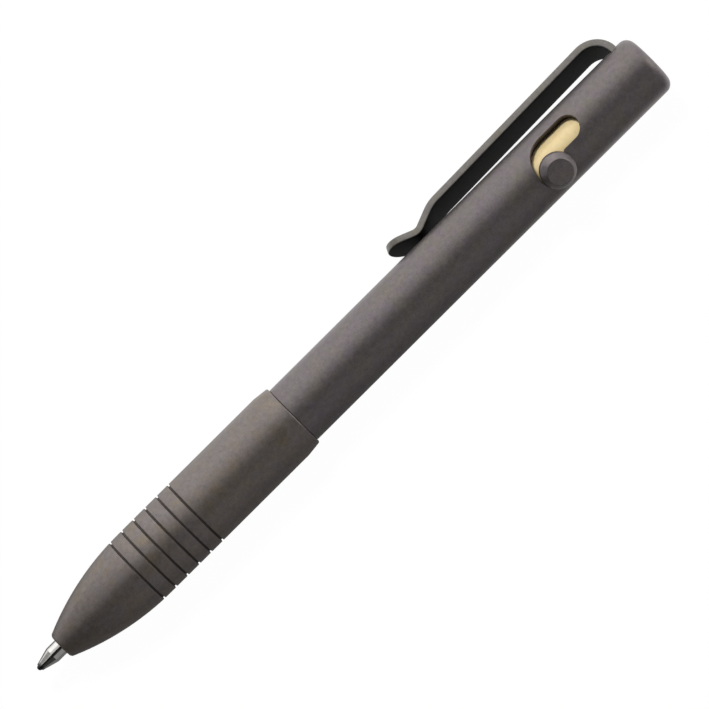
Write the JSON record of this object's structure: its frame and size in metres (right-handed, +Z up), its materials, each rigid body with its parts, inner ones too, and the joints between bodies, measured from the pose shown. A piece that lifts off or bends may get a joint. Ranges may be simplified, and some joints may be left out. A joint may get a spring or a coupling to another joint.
{
  "type": "bolt action pen",
  "caption": "Slim retractable ballpoint pen: a side bolt runs in a J-shaped slot, with a grooved metal grip, a bent spring clip and a replaceable refill.",
  "frame": {"origin": "middle of the pen's footprint on the surface it lies on", "axes": "+X along the pen from the writing point to the tail, +Z up from the surface, +Y towards the clip's side"},
  "size_m": [0.1212, 0.0142, 0.0126],
  "materials": {
    "grip_titanium": "dark blasted titanium, warm grey-brown",
    "barrel_titanium": "dark blasted titanium, warm grey",
    "clip_titanium": "dark blasted titanium strip",
    "knob_titanium": "dark blasted titanium",
    "plunger_brass": "satin turned brass",
    "refill_steel": "drawn tube",
    "point_steel": "bright turned",
    "ball_carbide": "dark polished",
    "cap_plastic": "moulded",
    "spring_steel": "drawn wire",
    "screw_steel": "dark set screw"
  },
  "bodies": {
    "pen_body": {"barrel": "barrel_titanium", "end_plug": "barrel_titanium", "clip_screw": "screw_steel"},
    "grip": {"grip_section": "grip_titanium"},
    "refill": {"refill_tube": "refill_steel", "writing_point": "point_steel", "tip_ball": "ball_carbide", "refill_cap": "cap_plastic", "return_spring": "spring_steel"},
    "bolt": {"plunger": "plunger_brass", "bolt_knob": "knob_titanium"},
    "clip_strip": {"clip": "clip_titanium"}
  },
  "joints": [
    {"name": "refill_travel", "type": "slide", "parent": "pen_body", "child": "refill", "axis": [1, 0, 0], "range_m": [0, 0.00502], "deforming": ["return_spring"]},
    {"name": "bolt_turn", "type": "hinge", "parent": "refill", "child": "bolt", "pos_m": [0.04028, -0.00156, 0.00552], "axis": [-1, 0, 0], "range_deg": [0, 52]},
    {"name": "grip_unscrew", "type": "slide", "parent": "pen_body", "child": "grip", "axis": [-1, 0, 0], "range_m": [0, 0.0105]},
    {"name": "clip_flex", "type": "hinge", "parent": "pen_body", "child": "clip_strip", "pos_m": [0.05795, 0.00013, 0.0049], "axis": [0, -0.3443, -0.9388], "range_deg": [0, 2], "stiffness_Nm_per_rad": 0.5}
  ],
  "couplings": [
    {"joint": "bolt_turn", "follows": "refill_travel", "rad_per_m": 180.69}
  ]
}
